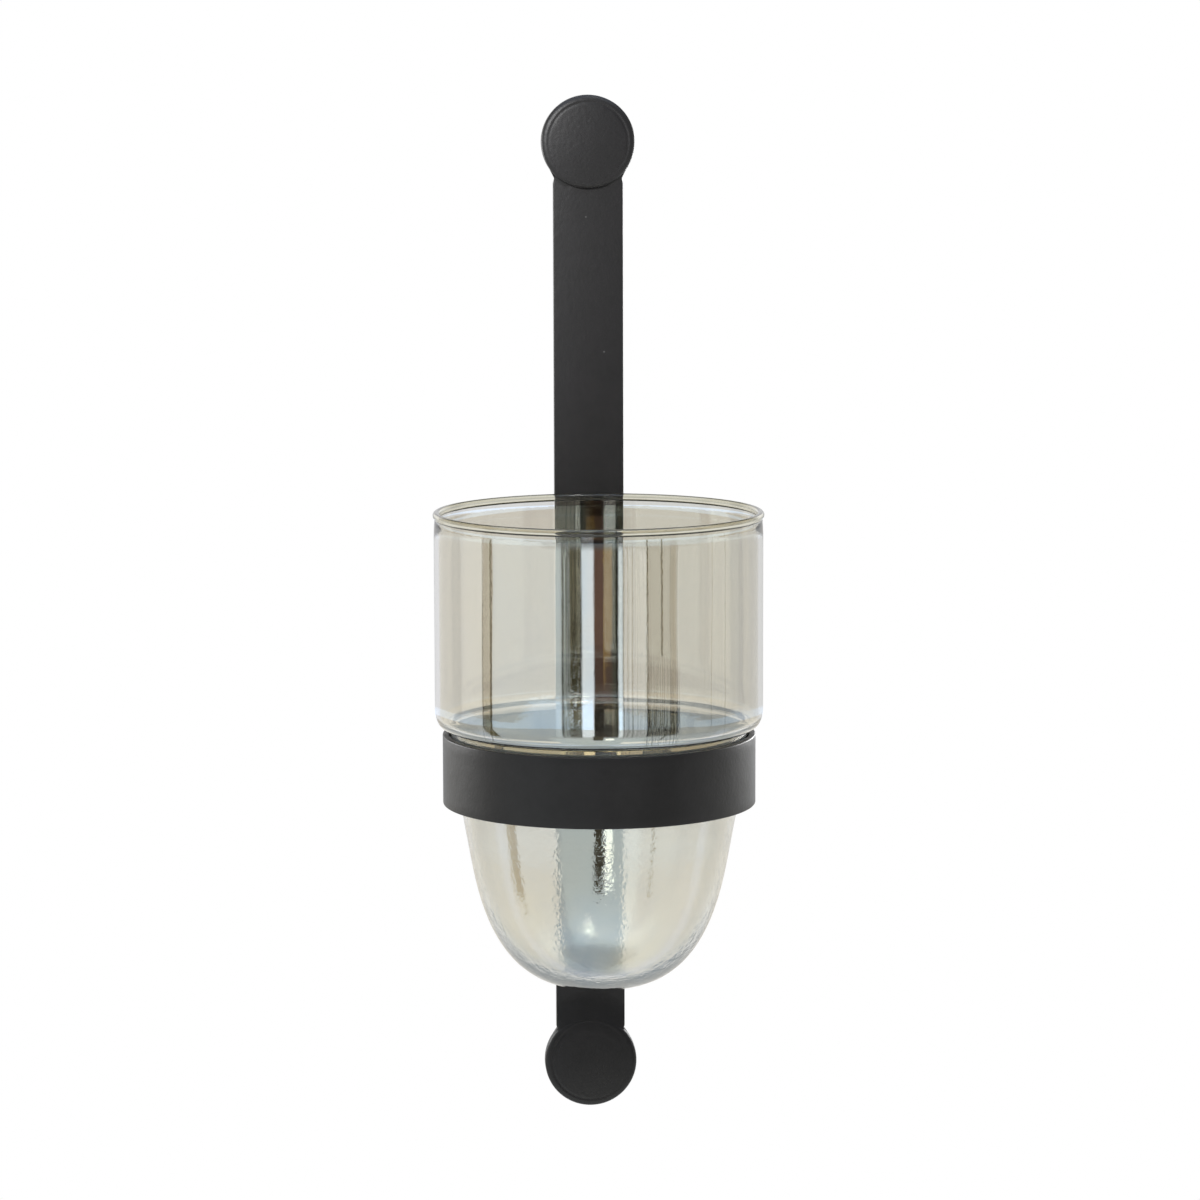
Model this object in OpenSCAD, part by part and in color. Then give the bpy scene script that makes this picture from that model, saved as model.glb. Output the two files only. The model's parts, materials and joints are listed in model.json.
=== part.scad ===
// Wall tealight holder: a flat steel bar with a round cap at each end, a rolled ring on its front and one
// lift-out glass that hangs in the ring by its shoulder.
// The origin is on the wall, behind the middle of the upper cap. +Z is up and the front looks along -Y.

/* [Bar] */
// Width of the flat bar
bar_w = 22.4; // [18:0.2:26]
// Thickness of the bar
bar_t = 3; // [2:0.25:4]
// Distance between the middles of the two caps
cap_spacing = 300; // [285:5:360]
// Radius of the bar's softened long edges
bar_edge = 0.4; // [0.2:0.1:0.8]
// How far each side of a tongue lies inside the bar's own side
tongue_step = 0.35; // [0.2:0.05:0.8]
// Bare length of bar edge between the upper cap and the bar's full width
upper_neck = 3.2; // [2:0.1:5]
// Bare length of bar edge between the lower cap and the bar's full width
lower_neck = 1.4; // [1:0.1:5]

/* [Caps] */
// Diameter of each pressed cap
cap_d = 30; // [27:0.5:36]
// How far the edge of a cap's face stands in front of the bar
cap_proud = 1.8; // [1.4:0.1:3]
// Sheet thickness of the caps
cap_wall = 1; // [0.8:0.05:1.2]
// Inner radius of the bend round a cap's face
cap_bend = 0.4; // [0.2:0.1:0.8]
// Height of the slight dome on a cap's face
cap_dome = 0.4; // [0.2:0.1:0.8]
// How deep the bar's tongue reaches into a cap
tongue_in = 7; // [5:0.25:7.5]
// How far up a cap's side a weld reaches
weld_up = 2.2; // [1.2:0.1:3]

/* [Keyholes] */
// Thickness of the hanger plates
plate_t = 1.2; // [0.8:0.1:1.5]
// Diameter of the hole that lets a screw head in
entry_d = 9; // [7.5:0.25:10]
// Width of the slot that a screw shank slides up
slot_w = 4.5; // [3.5:0.25:5.5]
// Distance from the middle of the entry hole up to the middle of the slot's round end
slot_l = 7; // [5.5:0.25:8.5]
// How far the lower entry hole lies below the middle of its cap
lower_entry_drop = 5; // [4:0.25:6.5]

/* [Ring] */
// Outer diameter of the rolled ring
ring_d = 98; // [90:1:108]
// Height of the ring
ring_h = 22; // [16:1:28]
// Thickness of the ring's strip
ring_t = 2; // [1.5:0.25:3]
// Radius of the ring's softened edges
ring_edge = 0.4; // [0.2:0.1:0.6]
// Distance from the middle of the upper cap down to the top of the ring
ring_drop = 182.5; // [150:0.5:190]
// Radius of the weld beads that join the ring to its spacer
ring_weld_r = 1.3; // [1:0.1:1.6]
// How far each ring weld stops short of the ring's top and bottom
ring_weld_inset = 2; // [1:0.5:4]

/* [Glass] */
// Wall thickness of the glass
glass_wall = 2; // [1.4:0.1:2.3]
// Thickness of the glass at the bottom of the bowl
base_t = 3; // [2:0.25:5]
// How far the wide cylinder stands out beyond the ring
overhang = 2.35; // [2:0.05:3]
// Height of the wide cylinder, from its underside to the rim
upper_h = 67.5; // [50:0.5:75]
// Height of the neck and bowl below the cylinder's underside
lower_h = 83; // [74:0.5:88]
// Thickness of the rounded bead along the rim
rim_d = 2.3; // [2.1:0.05:3]
// Width of the cylinder's rounded lower corner
corner_w = 2; // [1.2:0.1:2.3]
// Height of the cylinder's rounded lower corner
corner_h = 4.5; // [2:0.25:7]
// Radius of the hollow curve between neck and cylinder
neck_fillet = 2; // [1.6:0.1:2.2]
// Height of the straight neck
neck_h = 8.4; // [5:0.2:12]
// Slope of the cone between neck and bowl, in degrees from upright
taper = 10.3; // [6:0.1:14]
// Height of the rounded bowl
bowl_h = 45; // [34:0.5:52]
// How square the round of the bowl is: 2 is an ellipse
bowl_power = 2.98; // [2.2:0.02:3.6]

/* [Hidden] */
$fn = 128;
// Sides of the rounds that small welds are fitted against
weld_fn = 720;

// Clearance round a tongue and a hanger plate
fit_gap = 0.1;
// Clearance between the neck of the glass and the inside of the ring
neck_clearance = 0.5;
// Clearance between the glass and the edge of the ring that it hangs on
seat_gap = 0.3;
// Clearance between the wide cylinder and the bar
bar_clearance = 0.65;
// How far a cut runs past the face that it opens
overrun = 1;
// Straight pieces that stand for a small edge, for a dome, for the rim and for the bowl
edge_steps = 4;
dome_steps = 8;
rim_steps = 12;
bowl_steps = 28;
// Share of a bare neck that slopes out to the bar's full width
slope_share = 0.45;
// Share of a bare neck that the weld runs along
weld_share = 0.35;
// Share of the rim bead's thickness over which it runs back into the wall
rim_return_share = 0.6;

// Bar and caps
bar_hw = bar_w / 2;
tongue_hw = bar_hw - tongue_step;
cap_r = cap_d / 2;
cap_inner_r = cap_r - cap_wall;
cap_depth = bar_t + cap_proud;
tongue_end = cap_r - tongue_in;
cap_to_bar = sqrt(pow(cap_r, 2) - pow(bar_hw, 2));
upper_full = cap_to_bar + upper_neck;
lower_full = cap_to_bar + lower_neck;
upper_slope = upper_neck * slope_share;
lower_slope = lower_neck * slope_share;

// Ring and spacer
ring_r = ring_d / 2;
ring_inner_r = ring_r - ring_t;
ring_top = -ring_drop;
spacer_t = overhang + bar_clearance;
ring_y = -(bar_t + spacer_t + ring_r);

// Glass: the neck drops into the ring, and the hollow curve above it rests on the ring's inner edge
neck_r = ring_inner_r - neck_clearance;
neck_inner_r = neck_r - glass_wall;
fillet_r = neck_r + neck_fillet;
seat_reach = neck_fillet - seat_gap - ring_edge;
seat_inset = neck_fillet - neck_clearance - ring_edge;
seat_rise = neck_fillet - ring_edge + sqrt(pow(seat_reach, 2) - pow(seat_inset, 2));
body_r = ring_r + overhang;
body_inner_r = body_r - glass_wall;
shoulder_z = ring_top + seat_rise;
rim_z = shoulder_z + upper_h;
base_z = shoulder_z - lower_h;
bowl_r = neck_r - (lower_h - neck_h - bowl_h) * tan(taper);

// Points on an arc of an ellipse about a centre, from one angle to another
function arc(centre_x, centre_y, half_w, half_h, from, to, steps) =
    [for (i = [0:steps])
        let (a = from + (to - from) * i / steps)
        [centre_x + half_w * cos(a), centre_y + half_h * sin(a)]];

// Outline of a rectangle between two corners, with round corners
function soft_rectangle(x0, y0, x1, y1, r) = concat(
    arc(x0 + r, y0 + r, r, r, 180, 270, edge_steps),
    arc(x1 - r, y0 + r, r, r, 270, 360, edge_steps),
    arc(x1 - r, y1 - r, r, r, 0, 90, edge_steps),
    arc(x0 + r, y1 - r, r, r, 90, 180, edge_steps));

// A parabola for the face of a cap, from its edge in to its middle, at a given depth
function dome(reach, depth) =
    [for (i = [0:dome_steps])
        let (share = 1 - i / dome_steps)
        [reach * share, depth + cap_dome * (1 - pow(share, 2))]];

// The bowl's side from its lowest point up, as a superellipse that also leans out with the taper
function bowl(top_r, bottom_z, h) =
    [for (i = [0:bowl_steps])
        let (a = 90 * i / bowl_steps)
        let (drop = h * pow(cos(a), 2 / bowl_power))
        [(top_r - drop * tan(taper)) * pow(sin(a), 2 / bowl_power), bottom_z + h - drop]];

function reversed(points) = [for (i = [len(points) - 1:-1:0]) points[i]];

// Side of the bar from its upper tongue down to its lower one
bar_side = [
    [tongue_hw, -tongue_end],
    [tongue_hw, -(upper_full - upper_slope)],
    [bar_hw, -upper_full],
    [bar_hw, -cap_spacing + lower_full],
    [tongue_hw, -cap_spacing + lower_full - lower_slope],
    [tongue_hw, -cap_spacing + tongue_end]];

module wall_bar_solid() {
    intersection() {
        rotate([90, 0, 0])
            linear_extrude(bar_t)
                polygon(concat(bar_side, [for (p = reversed(bar_side)) [-p[0], p[1]]]));
        translate([0, 0, -cap_spacing])
            linear_extrude(cap_spacing)
                polygon(soft_rectangle(-bar_hw, -bar_t, bar_hw, 0, bar_edge));
    }
}

module wall_bar() {
    color("#3c3b3c") wall_bar_solid();
}

// Half section of a pressed cap: radius, then distance from the wall
cap_section = concat(
    [[cap_r, 0]],
    arc(cap_inner_r - cap_bend, cap_depth - cap_wall - cap_bend,
        cap_wall + cap_bend, cap_wall + cap_bend, 0, 90, edge_steps),
    dome(cap_inner_r - cap_bend, cap_depth),
    reversed(dome(cap_inner_r - cap_bend, cap_depth - cap_wall)),
    reversed(arc(cap_inner_r - cap_bend, cap_depth - cap_wall - cap_bend, cap_bend, cap_bend, 0, 90, edge_steps)),
    [[cap_inner_r, 0]]);

// One cap about its own middle, notched on the side where the tongue enters: -1 is below, 1 is above
module cap(tongue_side) {
    notch_hw = tongue_hw + fit_gap;
    notch_t = bar_t + fit_gap;
    notch_l = tongue_in + overrun;
    difference() {
        rotate([90, 0, 0])
            rotate_extrude()
                polygon(cap_section);
        translate([-notch_hw, -notch_t, tongue_side > 0 ? tongue_end : -tongue_end - notch_l])
            cube([2 * notch_hw, notch_t + overrun, notch_l]);
    }
}

module upper_cap() {
    color("#3f3e3f") cap(-1);
}

module lower_cap() {
    color("#2c2c2c") translate([0, 0, -cap_spacing]) cap(1);
}

// One hanger plate about the middle of its cap: the slot always runs up from the entry hole
module keyhole_plate(tongue_side, entry_drop) {
    plate_r = cap_inner_r - fit_gap;
    chord = tongue_end - fit_gap;
    cut_w = 2 * plate_r;
    difference() {
        rotate([90, 0, 0])
            cylinder(r = plate_r, h = plate_t);
        translate([-plate_r, -plate_t - overrun, tongue_side > 0 ? chord : -chord - cut_w])
            cube([cut_w, plate_t + 2 * overrun, cut_w]);
        translate([0, overrun, -entry_drop]) {
            rotate([90, 0, 0])
                cylinder(d = entry_d, h = plate_t + 2 * overrun);
            translate([-slot_w / 2, -plate_t - 2 * overrun, 0])
                cube([slot_w, plate_t + 2 * overrun, slot_l]);
            translate([0, 0, slot_l])
                rotate([90, 0, 0])
                    cylinder(d = slot_w, h = plate_t + 2 * overrun);
        }
    }
}

module upper_keyhole_plate() {
    color("#2f2f30") keyhole_plate(-1, 0);
}

module lower_keyhole_plate() {
    color("#2f2f30") translate([0, 0, -cap_spacing]) keyhole_plate(1, lower_entry_drop);
}

// The two welds that fill the corners between a cap's side and the bar, below the middle of the cap
module cap_welds(neck) {
    corner_angle = asin(tongue_hw / cap_r);
    weld_angle = corner_angle + weld_up / cap_r * 180 / PI;
    corner_z = -cap_r * cos(corner_angle);
    for (left = [0, 1])
        mirror([left, 0, 0])
            difference() {
                rotate([90, 0, 0])
                    linear_extrude(bar_t)
                        polygon([
                            [tongue_hw, corner_z],
                            [tongue_hw, corner_z - neck * weld_share],
                            [cap_r * sin(weld_angle), -cap_r * cos(weld_angle)]]);
                translate([0, overrun, 0])
                    rotate([90, 0, 0])
                        cylinder(r = cap_r, h = bar_t + 2 * overrun, $fn = weld_fn);
            }
}

module upper_cap_welds() {
    color("#343434")
        difference() {
            cap_welds(upper_neck);
            wall_bar_solid();
        }
}

module lower_cap_welds() {
    color("#2a2a2a")
        difference() {
            translate([0, 0, -cap_spacing]) mirror([0, 0, 1]) cap_welds(lower_neck);
            wall_bar_solid();
        }
}

module ring_spacer_solid() {
    translate([0, 0, ring_top - ring_h])
        linear_extrude(ring_h)
            polygon(soft_rectangle(-bar_hw, -bar_t - spacer_t, bar_hw, -bar_t, bar_edge));
}

module ring_spacer() {
    color("#3a3a3a") ring_spacer_solid();
}

module holder_ring_solid() {
    translate([0, ring_y, 0])
        rotate_extrude()
            polygon(soft_rectangle(ring_inner_r, ring_top - ring_h, ring_r, ring_top, ring_edge));
}

module holder_ring() {
    color("#353535") holder_ring_solid();
}

// Two upright beads that fill the wedge between the spacer's front edges and the round back of the ring
module ring_welds() {
    gap_y = ring_y + sqrt(pow(ring_r, 2) - pow(bar_hw, 2));
    bead_y = (gap_y - bar_t - spacer_t) / 2;
    color("#313131")
        difference() {
            for (side = [-1, 1])
                translate([side * (bar_hw - ring_weld_r / 2), bead_y, ring_top - ring_h + ring_weld_inset])
                    cylinder(r = ring_weld_r, h = ring_h - 2 * ring_weld_inset);
            ring_spacer_solid();
            translate([0, ring_y, ring_top - ring_h])
                cylinder(r = ring_r, h = ring_h, $fn = weld_fn);
        }
}

// Outside of the glass from the middle of its base up to the crown of the rim
glass_outside = concat(
    bowl(bowl_r, base_z, bowl_h),
    [[neck_r, shoulder_z - neck_h]],
    reversed(arc(fillet_r, shoulder_z - neck_fillet, neck_fillet, neck_fillet, 90, 180, edge_steps)),
    arc(body_r - corner_w, shoulder_z + corner_h, corner_w, corner_h, 270, 360, bowl_steps / 4),
    arc(body_r - rim_d / 2, rim_z - rim_d / 2, rim_d / 2, rim_d / 2, 0, 180, rim_steps));

// Inside of the glass from just under the rim down to the middle of the base
glass_inside = concat(
    [[body_inner_r, rim_z - rim_d / 2 - rim_d * rim_return_share]],
    reversed(arc(fillet_r, shoulder_z + glass_wall + corner_h, body_inner_r - fillet_r, corner_h, 270, 360,
                 bowl_steps / 4)),
    arc(fillet_r, shoulder_z - neck_fillet, neck_fillet + glass_wall, neck_fillet + glass_wall, 90, 180,
        edge_steps),
    [[neck_inner_r, shoulder_z - neck_h]],
    reversed(bowl(bowl_r - glass_wall, base_z + base_t, bowl_h - base_t)));

module glass() {
    color("#c9c6ba", 0.45)
        translate([0, ring_y, 0])
            rotate_extrude()
                polygon(concat(glass_outside, glass_inside));
}

wall_bar();
upper_cap();
lower_cap();
upper_keyhole_plate();
lower_keyhole_plate();
upper_cap_welds();
lower_cap_welds();
ring_spacer();
ring_welds();
holder_ring();
glass();
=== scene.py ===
# %% [markdown]
# Wall tealight holder.
# A flat steel strip hangs on the wall by two keyhole plates, each hidden under a pressed round cap. A rolled
# ring stands on the strip's front, and one blown glass with a metallic lustre hangs in it by its shoulder.
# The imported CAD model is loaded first, because it fixes where every piece of the real object is. Each piece
# below is a finer surface with a real finish, laid exactly over its CAD node.

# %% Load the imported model
import json
import math

import bpy
import numpy as np
from mathutils import Matrix, Vector

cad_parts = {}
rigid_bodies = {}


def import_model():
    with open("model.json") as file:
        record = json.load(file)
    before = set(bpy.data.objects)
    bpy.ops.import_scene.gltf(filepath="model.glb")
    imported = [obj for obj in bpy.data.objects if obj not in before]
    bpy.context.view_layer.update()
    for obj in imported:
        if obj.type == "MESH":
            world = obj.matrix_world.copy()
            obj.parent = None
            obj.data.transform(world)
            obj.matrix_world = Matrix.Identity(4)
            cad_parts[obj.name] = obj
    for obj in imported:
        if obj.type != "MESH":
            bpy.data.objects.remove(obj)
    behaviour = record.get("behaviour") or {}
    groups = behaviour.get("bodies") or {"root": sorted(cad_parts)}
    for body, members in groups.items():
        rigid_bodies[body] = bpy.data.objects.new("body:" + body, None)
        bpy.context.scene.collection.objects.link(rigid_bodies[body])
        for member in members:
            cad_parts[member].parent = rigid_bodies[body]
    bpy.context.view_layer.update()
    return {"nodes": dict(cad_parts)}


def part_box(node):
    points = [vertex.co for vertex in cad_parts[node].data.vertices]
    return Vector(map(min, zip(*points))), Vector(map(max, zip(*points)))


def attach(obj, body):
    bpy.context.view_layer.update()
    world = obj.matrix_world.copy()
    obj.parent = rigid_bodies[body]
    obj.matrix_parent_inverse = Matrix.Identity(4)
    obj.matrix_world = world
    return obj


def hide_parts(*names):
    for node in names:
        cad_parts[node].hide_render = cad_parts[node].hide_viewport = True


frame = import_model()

mm = 0.001
print("nodes:", ", ".join(sorted(frame["nodes"])))

# %% [markdown]
# Sizes.
# The pieces repeat the sizes that the CAD model was drawn to, in millimetres. Where a size can be read from a
# node's own box, it is, so that the piece can't drift away from the node that it stands for. The ring's axis
# is the glass's too, and angles in the room and on the glass are counted round it.

# %% Sizes


def node_box(node):
    """A node's lowest and highest corner, in mm."""
    low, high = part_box(node)
    return np.array(low) / mm, np.array(high) / mm


bar_low, bar_high = node_box("wall_bar")
ring_low, ring_high = node_box("holder_ring")
glass_low, glass_high = node_box("glass")
spacer_low, spacer_high = node_box("ring_spacer")
cap_low, cap_high = node_box("upper_cap")
lower_cap_low = node_box("lower_cap")[0]
ring_r = (ring_high[0] - ring_low[0]) / 2
ring_centre = np.array([0.0, (ring_low[1] + ring_high[1]) / 2, 0.0])
print("ring radius", round(ring_r, 3), "centre", np.round(ring_centre, 3))

# %% [markdown]
# Camera.
# The holder was photographed from about a metre and a half away, a little from the left and from above, with
# a long lens. A camera could be aimed by eye, but then every edge would lie a few pixels off. Its place, its
# three angles and its focal length were worked out together from the edges of both caps, of the strip and of
# the ring, so it is built from those numbers. Its matrix holds the directions right, up and backwards.

# %% Camera
camera_place = (-80.615 * mm, -1437.258 * mm, 43.586 * mm)
camera_yaw, camera_pitch, camera_roll = (math.radians(a) for a in (3.354, 7.583, -0.16))
lens_length, sensor_width = 134.228, 36.0


def camera_directions(yaw, pitch, roll):
    """Right, up and forward. Forward turns by yaw from +Y to +X and drops by pitch, and the other two roll
    about it."""
    forward = np.array([math.sin(yaw) * math.cos(pitch), math.cos(yaw) * math.cos(pitch), -math.sin(pitch)])
    level = np.array([math.cos(yaw), -math.sin(yaw), 0.0])
    upright = np.cross(level, forward)
    right = math.cos(roll) * level + math.sin(roll) * upright
    up = math.cos(roll) * upright - math.sin(roll) * level
    return right, up, forward


right, up, forward = camera_directions(camera_yaw, camera_pitch, camera_roll)
camera = bpy.data.objects.new("camera", bpy.data.cameras.new("camera"))
camera.data.sensor_width, camera.data.lens = sensor_width, lens_length
camera.data.clip_start, camera.data.clip_end = 0.05, 60.0
camera.matrix_world = Matrix([[*row] for row in np.vstack([
    np.column_stack([right, up, -forward, camera_place]), [0, 0, 0, 1]])])
bpy.context.scene.collection.objects.link(camera)
bpy.context.scene.camera = camera
print("camera looks along", np.round(forward, 3))

# %% [markdown]
# Nodes.
# Every finish here is a small network of shader nodes. Placing each node in three or four lines would hide
# what the network does, so one helper adds a node, sets its own properties and fills or links its sockets.
# The others are short names for the sums, ranges, noises and blends that the finishes are written in.

# %% Helpers for nodes and sums


def add_node(tree, kind, sockets=None, **settings):
    """Add a node of a kind. Settings are its own properties, and each socket takes a number, a colour or a
    link."""
    made = tree.nodes.new(kind)
    for name, value in settings.items():
        setattr(made, name, value)
    for name, value in (sockets or {}).items():
        if isinstance(value, bpy.types.NodeSocket):
            tree.links.new(value, made.inputs[name])
        else:
            made.inputs[name].default_value = value
    return made


def math_node(tree, operation, *values):
    """One sum on up to three values, each a number or a link."""
    return add_node(tree, "ShaderNodeMath", dict(enumerate(values)), operation=operation).outputs[0]


def product(tree, first, *others):
    """All the values multiplied."""
    for value in others:
        first = math_node(tree, "MULTIPLY", first, value)
    return first


def total(tree, first, *others):
    """All the values added."""
    for value in others:
        first = math_node(tree, "ADD", first, value)
    return first


def split_vector(tree, vector):
    """The three coordinates of a vector."""
    return add_node(tree, "ShaderNodeSeparateXYZ", {0: vector}).outputs


# %% Helpers for ranges


def map_range(tree, value, low, high, to_low, to_high):
    """Carry a value from one range into another, in a straight line, held at both ends."""
    return add_node(tree, "ShaderNodeMapRange", {
        "Value": value, "From Min": low, "From Max": high, "To Min": to_low, "To Max": to_high}).outputs[0]


def above(tree, value, limit, soft):
    """One above a limit and zero below it, with a slope that reaches soft to each side."""
    return map_range(tree, value, limit - soft, limit + soft, 0.0, 1.0)


def below(tree, value, limit, soft):
    """One below a limit and zero above it, with a slope that reaches soft to each side."""
    return map_range(tree, value, limit - soft, limit + soft, 1.0, 0.0)


def window(tree, value, low, high, soft):
    """One inside a range and zero outside it: above the low end times below the high end, each soft wide."""
    return product(tree, above(tree, value, low, soft / 2), below(tree, value, high, soft / 2))


def outside_of(tree, part):
    """One less a part."""
    return math_node(tree, "SUBTRACT", 1.0, part)


# %% Helpers for noise and colour


def noise(tree, place, scale, detail, roughness=0.5):
    """Soft noise about one half: scale counts its cells in a unit, and detail the finer layers on top, each
    weaker than the last by the roughness."""
    return add_node(tree, "ShaderNodeTexNoise", {
        "Vector": place, "Scale": scale, "Detail": detail, "Roughness": roughness}).outputs["Fac"]


def stretched_noise(tree, across, upward, cells, detail, roughness):
    """Noise over two measures, with its own number of cells in a unit of each. Few cells upwards give upright
    streaks."""
    place = add_node(tree, "ShaderNodeCombineXYZ", {
        0: product(tree, across, cells[0]), 1: product(tree, upward, cells[1])}).outputs[0]
    return noise(tree, place, 1.0, detail, roughness)


def wander(tree, value, low, high):
    """Noise stays mostly between 0.3 and 0.7, so that middle part is carried into a range."""
    return map_range(tree, value, 0.3, 0.7, low, high)


def colour_ramp(tree, factor, stops):
    """A ramp of colours: stops are pairs of a place from 0 to 1 and a colour of three numbers."""
    made = add_node(tree, "ShaderNodeValToRGB", {"Fac": factor})
    elements = made.color_ramp.elements
    while len(elements) < len(stops):
        elements.new(1.0)
    for element, (place, colour) in zip(elements, stops):
        element.position = place
        element.color = (*colour, 1.0)
    return made.outputs["Color"]


def blend_colour(tree, factor, first, second, blend_type="MIX"):
    """Blend two colours, or links, by a factor."""
    made = add_node(tree, "ShaderNodeMix", data_type="RGBA", blend_type=blend_type)
    for place, value in ((0, factor), (6, first), (7, second)):
        if isinstance(value, bpy.types.NodeSocket):
            tree.links.new(value, made.inputs[place])
        else:
            made.inputs[place].default_value = value if place == 0 else (*value, 1.0)
    return made.outputs[2]


def new_material(name):
    """An empty material with its Principled shader and output, ready for a finish."""
    material = bpy.data.materials.new(name)
    material.use_nodes = True
    tree = material.node_tree
    tree.nodes.clear()
    shader = add_node(tree, "ShaderNodeBsdfPrincipled")
    add_node(tree, "ShaderNodeOutputMaterial", {"Surface": shader.outputs["BSDF"]})
    return material, tree, shader


# %% [markdown]
# Studio.
# The glass has a mirror-like lustre, so what shows on it is mostly the room: tall softboxes, the dark gap
# where the camera stands, and a pale sweep all round. Lamps and cards could be set up one by one, but the
# stripes on the glass depend only on the direction that a mirrored ray leaves in. So the room is painted on
# the world by that direction. First come its two measures, in degrees: the angle round the compass, counted
# from the camera's side to the right, and the height above eye level.

# %% Studio: directions
view_azimuth = math.degrees(math.atan2(camera_place[0], ring_centre[1] * mm - camera_place[1]))

world = bpy.data.worlds.new("studio")
bpy.context.scene.world = world
world.use_nodes = True
tree = world.node_tree
tree.nodes.clear()
direction = split_vector(tree, add_node(tree, "ShaderNodeTexCoord").outputs["Generated"])
compass = math_node(tree, "ARCTAN2", direction[0], product(tree, direction[1], -1.0))
compass = math_node(tree, "SUBTRACT", math_node(tree, "DEGREES", compass), view_azimuth)
compass = math_node(tree, "WRAP", compass, 180.0, -180.0)
height = math_node(tree, "DEGREES", math_node(tree, "ARCSINE", direction[2]))
print("camera's side is at", round(view_azimuth, 2), "degrees from the front")

# %% [markdown]
# Upright stripes.
# At eye level the room is a row of upright stripes: softboxes, dark gaps between them and the edges of
# stands. Each could be a card in the scene, but cards would have to be rebuilt for every view. So one ramp
# round the compass holds the broad stripes. The blown wall makes their edges ragged, and fine noise that is
# added to the compass does the same here.

# %% Studio: broad stripes
room_peak, edge, ragged_by, ragged_cells = 4.0, 0.25, 0.45, (0.6, 20.0)
backdrop = (0.74, 0.74, 0.75)
room_bands = [
    (-180, -150, backdrop), (-150, -112, (0.84, 0.82, 0.77)), (-112, -88.5, (1.06, 1.03, 0.97)),
    (-88.5, -79.5, (0.38, 0.34, 0.25)), (-79.5, -26.0, (0.96, 1.00, 1.00)),
    (-26.0, -20.5, (0.54, 0.56, 0.52)), (-20.5, -12.4, (0.10, 0.08, 0.04)),
    (-12.4, -3.2, (2.00, 2.06, 2.14)), (-3.2, 8.5, (0.27, 0.155, 0.115)), (8.5, 13.5, (0.12, 0.11, 0.08)),
    (13.5, 16, (2.00, 2.05, 2.05)), (16, 34.5, (0.92, 0.90, 0.86)), (34.5, 51, (0.46, 0.44, 0.38)),
    (51, 56, (0.28, 0.24, 0.17)), (56, 115, (0.80, 0.79, 0.75)), (115, 180, (0.68, 0.68, 0.67))]


def of_peak(colour):
    """A colour of the room as a share of its peak, because a ramp holds no colour above one."""
    return tuple(c / room_peak for c in colour)


def band_stops(bands, edge):
    """Stops of a ramp round the compass: each band starts and ends a small step inside its own limits."""
    stops = []
    for start, end, colour in bands:
        stops += [((place + 180) / 360, of_peak(colour)) for place in (start + edge, end - edge)]
    return stops


ragged = wander(tree, stretched_noise(tree, compass, height, ragged_cells, 3.0, 0.7), -ragged_by, ragged_by)
stripe_compass = total(tree, compass, ragged)
band_colour = colour_ramp(
    tree, map_range(tree, stripe_compass, -180.0, 180.0, 0.0, 1.0), band_stops(room_bands, edge))
print("bands in the room:", len(room_bands))

# %% [markdown]
# Thin lines.
# Thin dark lines lie on and between the broad stripes, as the edges of frames and stands give. They could be
# more bands in the ramp, but a ramp takes only so many stops. So each is a middle, a half width and a depth:
# the light is dimmed by the depth within a core of the line, and less towards its sides. The one with a
# negative depth is lighter than what it lies on.

# %% Studio: thin lines
line_core = 0.4
thin_lines = [
    (-88.0, 0.8, 0.7), (-80.2, 0.8, 0.8), (-28.6, 2.8, -0.3), (-25.3, 0.7, 0.7), (-22.4, 0.5, 0.35),
    (-21.0, 0.5, 0.4), (-12.9, 0.6, 0.95), (12.3, 1.0, 0.8), (17.1, 0.5, 0.55), (19.8, 0.4, 0.5),
    (23.4, 0.5, 0.6), (26.5, 0.3, 0.3), (34.3, 0.8, 1.0), (36.0, 0.4, 0.35), (51.1, 0.5, 0.7),
    (53.4, 0.4, 0.4), (56.2, 0.5, 0.6), (85.5, 0.5, 0.45)]

dimming = 1.0
for middle, half_width, depth in thin_lines:
    away = math_node(tree, "ABSOLUTE", math_node(tree, "SUBTRACT", stripe_compass, middle))
    line = map_range(tree, away, half_width * line_core, half_width, 1 - depth, 1.0)
    dimming = product(tree, dimming, line)
print("thin lines:", len(thin_lines))

# %% [markdown]
# Streaks and flecks.
# Some of the broad stripes are broken up along their length, because the film isn't even. More lines could
# be drawn by hand, but the real ones have no order. So noise that is stretched upwards dims and lightens
# those parts, and noise with smaller cells breaks the dark gap on the left into flecks.

# %% Studio: streaks and flecks
streaky_parts = [(-26, -12, 0.9), (16, 58, 0.3), (-150, -31, 0.05), (58, 150, 0.08)]
part_soft, flecked_from, flecked_to, fleck_low, fleck_high = 1.0, -20.5, -12, 0.25, 1.75
streak_cells, fleck_cells, fleck_cut = (0.9, 0.25), (1.3, 7.0), (0.35, 0.65)

streak = wander(tree, stretched_noise(tree, compass, height, streak_cells, 3.0, 0.6), -1.0, 1.0)
for start, end, share in streaky_parts:
    part = product(tree, window(tree, compass, start, end, part_soft), share)
    dimming = product(tree, dimming, total(tree, 1.0, product(tree, part, streak)))
fleck = stretched_noise(tree, compass, height, fleck_cells, 3.0, 0.7)
fleck = map_range(tree, fleck, *fleck_cut, fleck_low, fleck_high)
part = window(tree, compass, flecked_from, flecked_to, part_soft)
dimming = product(tree, dimming, total(tree, outside_of(tree, part), product(tree, part, fleck)))
print("streaky parts:", len(streaky_parts))

# %% [markdown]
# Feet of the stripes.
# Low down the stripes end one by one: the brown one darkens in two steps, and the grey one frays into teeth.
# Below them runs a paler sill. Each foot could be a patch of its own colour, but a foot that dims what is
# above it follows any change of the stripe. The dark gap on the left also holds small bright spots there.

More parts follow.
